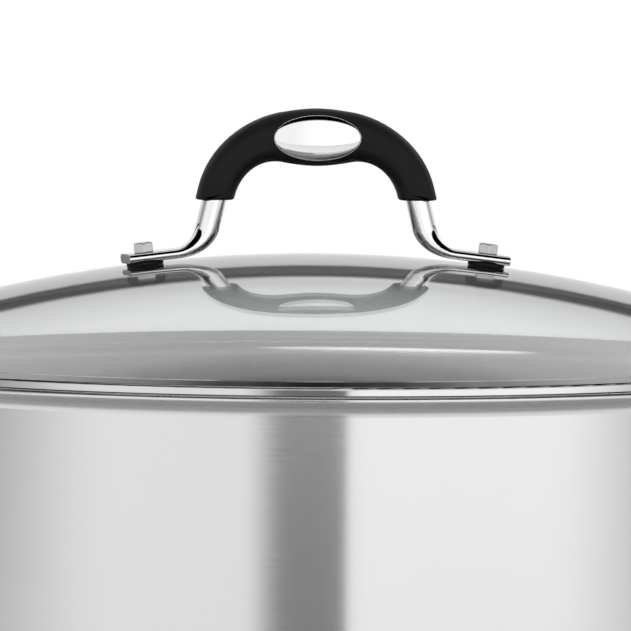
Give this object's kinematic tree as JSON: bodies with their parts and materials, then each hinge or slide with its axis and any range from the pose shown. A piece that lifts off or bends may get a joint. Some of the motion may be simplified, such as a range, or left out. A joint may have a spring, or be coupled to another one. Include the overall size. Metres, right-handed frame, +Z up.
{
  "type": "stock pot",
  "caption": "Round straight-sided stock pot with a flared, curled rim, a capsule base and looped side handles, closed by a lift-off domed glass lid with an arched, gripped handle.",
  "frame": {"origin": "centre of the base's underside, on the surface the pot stands on", "axes": "+Z up through the lid's centre, +X through the right side handle and along the lid's handle, -Y towards the front"},
  "size_m": [0.4778, 0.3752, 0.3889],
  "materials": {
    "satin_steel": "satin, drawn and brushed around the wall",
    "polished_steel": "mirror-polished stainless steel",
    "inlay_steel": "polished stainless steel plate",
    "black_grip": "soft matte black silicone",
    "black_seal": "matte black silicone",
    "lid_glass": "clear tempered glass, faintly green",
    "base_aluminium": "plain, hidden inside the base"
  },
  "bodies": {
    "pot": {"pot_shell": "satin_steel", "base_core": "base_aluminium", "base_skin": "satin_steel", "left_handle_bar": "polished_steel", "left_handle_grip": "black_grip", "left_handle_inlay": "inlay_steel", "left_handle_rivets": "satin_steel", "right_handle_bar": "polished_steel", "right_handle_grip": "black_grip", "right_handle_inlay": "inlay_steel", "right_handle_rivets": "satin_steel"},
    "lid": {"lid_glass": "lid_glass", "lid_ring": "polished_steel", "lid_handle_bar": "polished_steel", "lid_handle_grip": "black_grip", "lid_handle_inlay_front": "inlay_steel", "lid_handle_inlay_back": "inlay_steel", "lid_gasket_left": "black_seal", "lid_washer_left": "black_seal", "lid_screw_left": "polished_steel", "lid_nut_left": "polished_steel", "lid_gasket_right": "black_seal", "lid_washer_right": "black_seal", "lid_screw_right": "polished_steel", "lid_nut_right": "polished_steel"}
  },
  "joints": [
    {"name": "lid_lift", "type": "slide", "parent": "pot", "child": "lid", "axis": [0, 0, 1], "range_m": [0, 0.25]}
  ]
}
